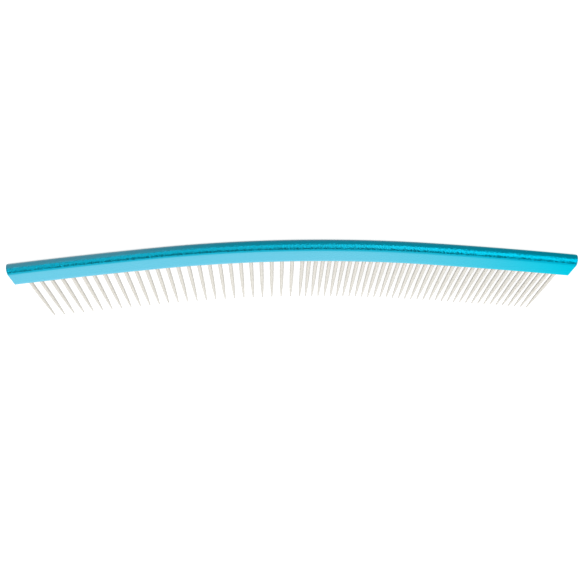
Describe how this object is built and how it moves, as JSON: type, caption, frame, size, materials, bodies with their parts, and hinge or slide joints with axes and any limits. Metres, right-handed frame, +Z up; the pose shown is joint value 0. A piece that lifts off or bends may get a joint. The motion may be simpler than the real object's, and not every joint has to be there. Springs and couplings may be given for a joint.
{
  "type": "curved pet grooming comb",
  "caption": "Curved grooming comb: an anodised bar with a rounded back and one row of tapered round steel teeth, coarse along one half and fine along the other.",
  "frame": {"origin": "centre of the comb's outline, on the surface it lies on", "axes": "+X along the spine towards the widely spaced teeth, +Y from the spine towards the tooth tips, +Z up out of the upper flat face"},
  "size_m": [0.2506, 0.0645, 0.0055],
  "materials": {
    "anodised_spine": "bright blue anodised aluminium, satin with a fine grain",
    "steel_teeth": "polished stainless steel"
  },
  "bodies": {
    "root": {"spine": "anodised_spine", "coarse_tooth_01": "steel_teeth", "coarse_tooth_02": "steel_teeth", "coarse_tooth_03": "steel_teeth", "coarse_tooth_04": "steel_teeth", "coarse_tooth_05": "steel_teeth", "coarse_tooth_06": "steel_teeth", "coarse_tooth_07": "steel_teeth", "coarse_tooth_08": "steel_teeth", "coarse_tooth_09": "steel_teeth", "coarse_tooth_10": "steel_teeth", "coarse_tooth_11": "steel_teeth", "coarse_tooth_12": "steel_teeth", "coarse_tooth_13": "steel_teeth", "coarse_tooth_14": "steel_teeth", "coarse_tooth_15": "steel_teeth", "coarse_tooth_16": "steel_teeth", "coarse_tooth_17": "steel_teeth", "coarse_tooth_18": "steel_teeth", "coarse_tooth_19": "steel_teeth", "coarse_tooth_20": "steel_teeth", "coarse_tooth_21": "steel_teeth", "coarse_tooth_22": "steel_teeth", "coarse_tooth_23": "steel_teeth", "coarse_tooth_24": "steel_teeth", "coarse_tooth_25": "steel_teeth", "coarse_tooth_26": "steel_teeth", "coarse_tooth_27": "steel_teeth", "fine_teeth_01_02": "steel_teeth", "fine_teeth_03_04": "steel_teeth", "fine_teeth_05_06": "steel_teeth", "fine_teeth_07_08": "steel_teeth", "fine_teeth_09_10": "steel_teeth", "fine_teeth_11_12": "steel_teeth", "fine_teeth_13_14": "steel_teeth", "fine_teeth_15_16": "steel_teeth", "fine_teeth_17_18": "steel_teeth", "fine_teeth_19_20": "steel_teeth", "fine_teeth_21_22": "steel_teeth", "fine_teeth_23_24": "steel_teeth", "fine_teeth_25_26": "steel_teeth", "fine_teeth_27_28": "steel_teeth", "fine_teeth_29_30": "steel_teeth", "fine_teeth_31_32": "steel_teeth", "fine_teeth_33_34": "steel_teeth", "fine_teeth_35_36": "steel_teeth", "fine_tooth_37": "steel_teeth"}
  },
  "joints": []
}
